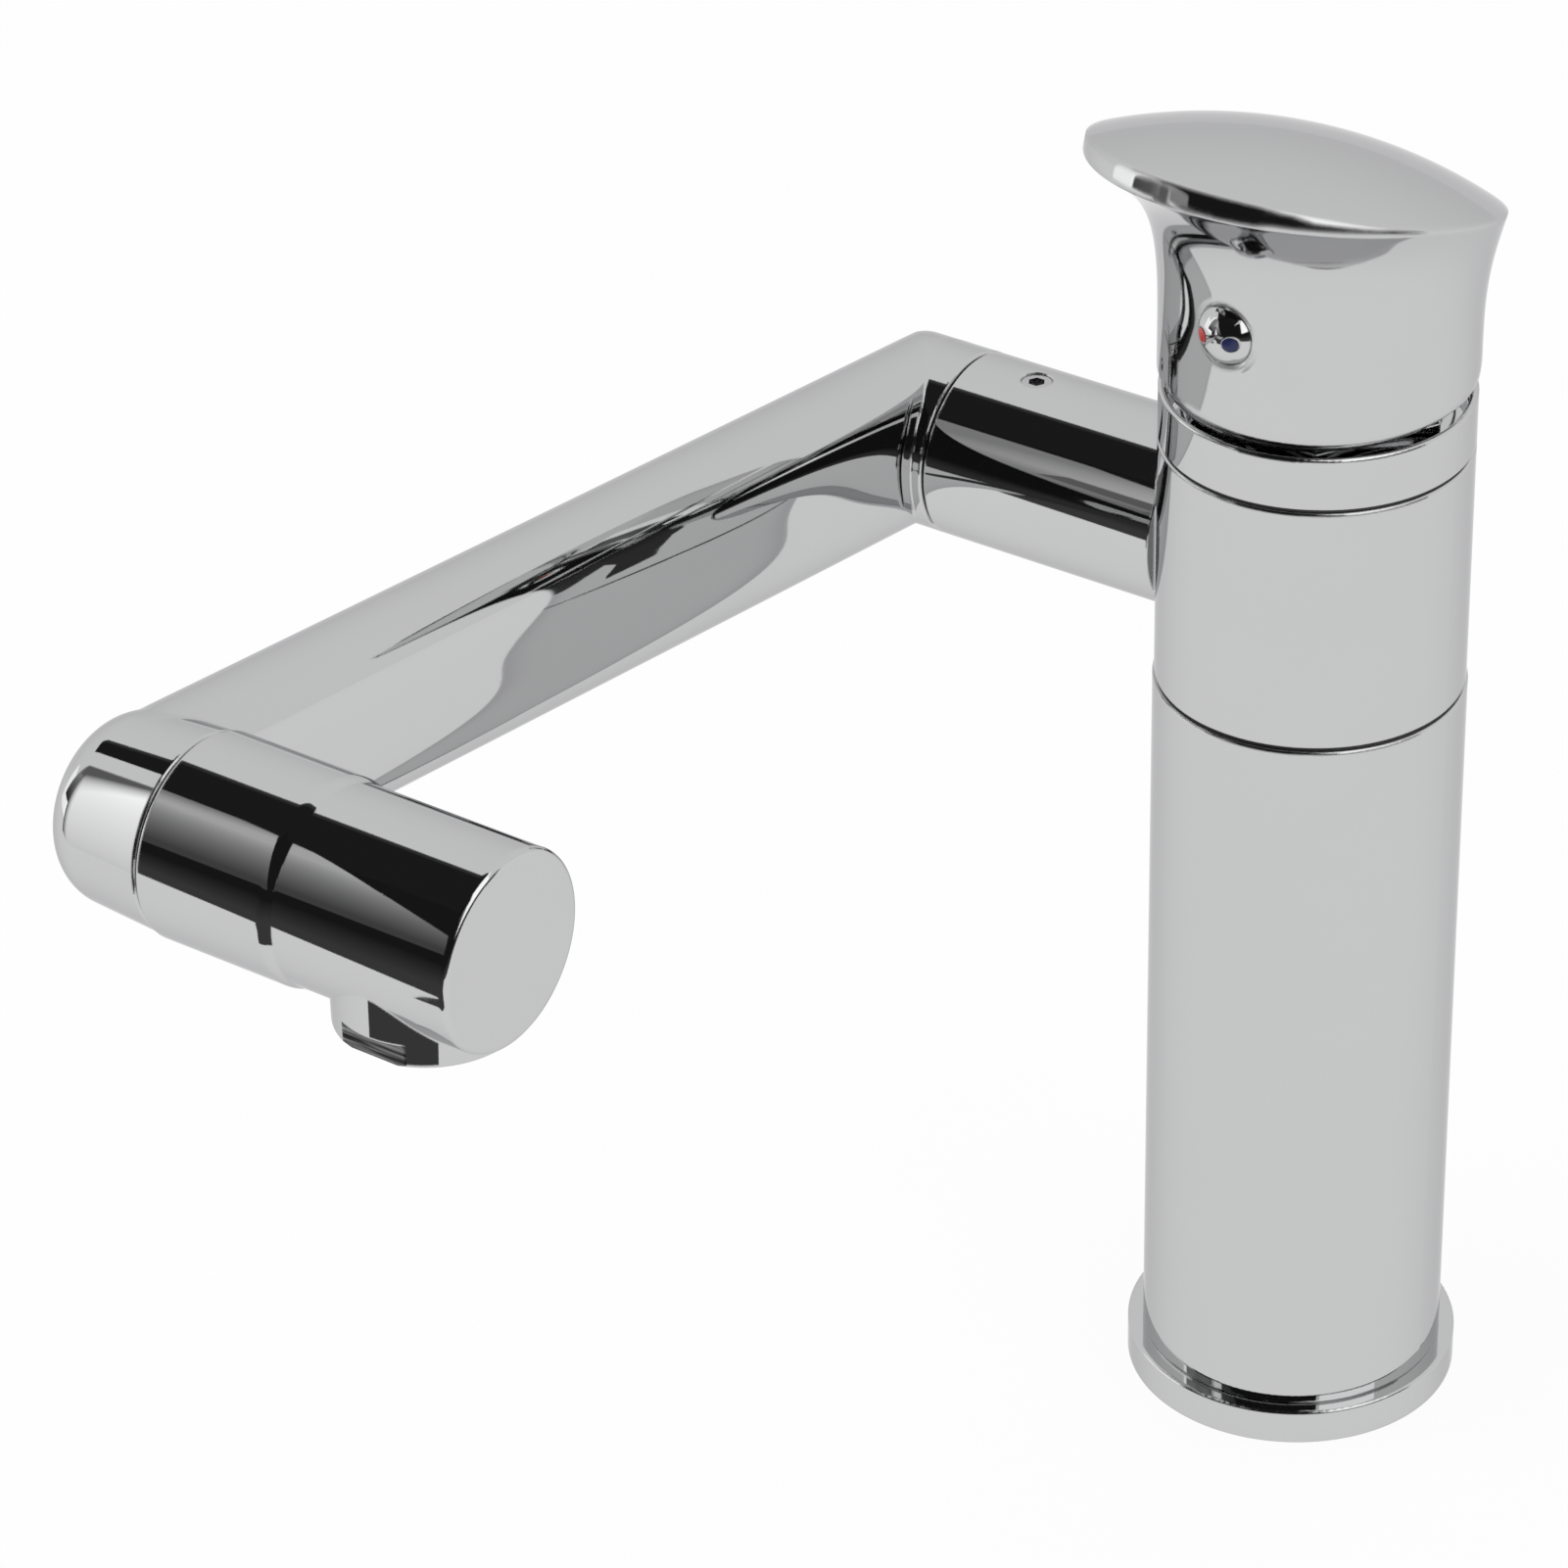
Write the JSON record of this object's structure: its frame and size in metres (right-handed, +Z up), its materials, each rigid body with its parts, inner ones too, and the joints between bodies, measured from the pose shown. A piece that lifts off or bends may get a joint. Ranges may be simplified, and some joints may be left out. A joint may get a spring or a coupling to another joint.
{
  "type": "basin faucet",
  "caption": "Tall single-lever basin mixer with a turning collar, a long swinging arm, a turning outlet head with a downward nozzle and a tulip-shaped lever.",
  "frame": {"origin": "mouth of the fixing stud's thread, on the column's axis, at the face that stands on the deck", "axes": "+Z up along the column; at rest the stub leaves towards -X, and the arm and the front of the lever point towards -Y"},
  "size_m": [0.1148, 0.2372, 0.2378],
  "materials": {
    "chrome": "polished",
    "brass": "machined",
    "copper": "drawn",
    "steel": "machined",
    "rubber": "matte",
    "slide_plastic": "matte",
    "cartridge_plastic": "matte",
    "ceramic": "polished",
    "aerator_plastic": "matte",
    "red": "gloss",
    "blue": "gloss"
  },
  "bodies": {
    "column": {"base_flange": "chrome", "base_gasket": "rubber", "inlet_block": "brass", "hot_supply_tube": "copper", "cold_supply_tube": "copper", "tie_rod": "steel", "column_shell": "chrome", "valve_body": "brass", "collar_seals": "rubber", "lower_slide_ring": "slide_plastic", "upper_slide_ring": "slide_plastic", "cap_ring": "chrome", "cartridge_base": "cartridge_plastic", "cartridge_port_seals": "rubber", "fixed_disc": "ceramic", "cartridge_housing": "cartridge_plastic", "cartridge_nut": "chrome"},
    "spout": {"spout_collar": "chrome", "stub_set_screw": "steel", "stub_bush": "slide_plastic"},
    "arm": {"spout_arm": "chrome", "arm_spigot": "brass", "arm_spigot_seals": "rubber", "outlet_spigot": "brass", "outlet_spigot_seals": "rubber"},
    "outlet": {"outlet_head": "chrome", "outlet_set_screw": "steel", "outlet_bush": "slide_plastic", "aerator_body": "aerator_plastic", "aerator_screens": "steel", "aerator_seal": "rubber"},
    "rotor": {"spindle_rotor": "cartridge_plastic", "spindle_pin": "steel"},
    "disc": {"moving_disc": "ceramic", "disc_carrier": "cartridge_plastic"},
    "lever": {"spindle": "steel", "handle": "chrome", "handle_screw": "steel", "index_button": "chrome", "hot_mark": "red", "cold_mark": "blue"}
  },
  "joints": [
    {"name": "spout_swivel", "type": "hinge", "parent": "column", "child": "spout", "pos_m": [0, 0, 0.1567], "axis": [0, 0, 1], "continuous": true},
    {"name": "arm_swing", "type": "hinge", "parent": "spout", "child": "arm", "pos_m": [-0.0753, 0, 0.1567], "axis": [-1, 0, 0], "range_deg": [-53, 82]},
    {"name": "outlet_turn", "type": "hinge", "parent": "arm", "child": "outlet", "pos_m": [-0.0753, -0.19399, 0.18396], "axis": [1, 0, 0], "continuous": true},
    {"name": "handle_turn", "type": "hinge", "parent": "column", "child": "rotor", "pos_m": [0, 0, 0.187], "axis": [0, 0, 1], "range_deg": [-50, 50]},
    {"name": "handle_lift", "type": "hinge", "parent": "rotor", "child": "lever", "pos_m": [0, 0, 0.187], "axis": [-0.9962, 0.0872, 0], "range_deg": [0, 20]},
    {"name": "disc_slide", "type": "slide", "parent": "rotor", "child": "disc", "axis": [-0.0872, -0.9962, 0], "range_m": [0, 0.0042]}
  ],
  "couplings": [
    {"joint": "disc_slide", "follows": "handle_lift", "m_per_rad": 0.012}
  ]
}
